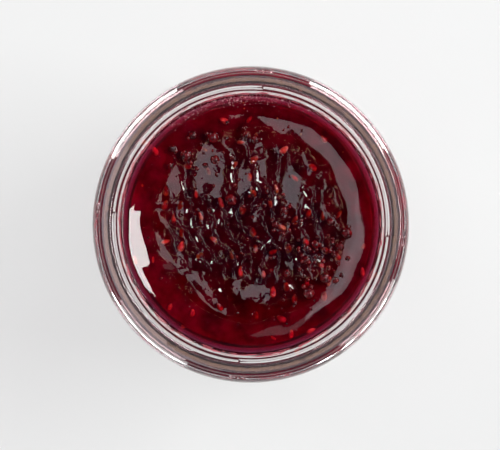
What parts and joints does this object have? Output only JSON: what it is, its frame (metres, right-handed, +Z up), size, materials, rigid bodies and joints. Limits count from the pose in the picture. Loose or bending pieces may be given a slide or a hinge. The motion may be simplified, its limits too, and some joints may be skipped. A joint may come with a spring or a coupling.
{
  "type": "jam jar",
  "caption": "Open clear glass twist-off jar filled to its throat with dark red berry jam full of seeds and bubbles.",
  "frame": {"origin": "on the table under the middle of the jar's base", "axes": "+Z up along the jar's axis, +Y towards the top of the view from above and +X to its right"},
  "size_m": [0.072, 0.072, 0.092],
  "materials": {
    "clear_glass": "clear, smooth, polished pressed glass",
    "jam_gel": "wet, glossy, translucent dark red gel with seeds and bubbles"
  },
  "bodies": {
    "root": {"jar": "clear_glass", "jam": "jam_gel"}
  },
  "joints": []
}
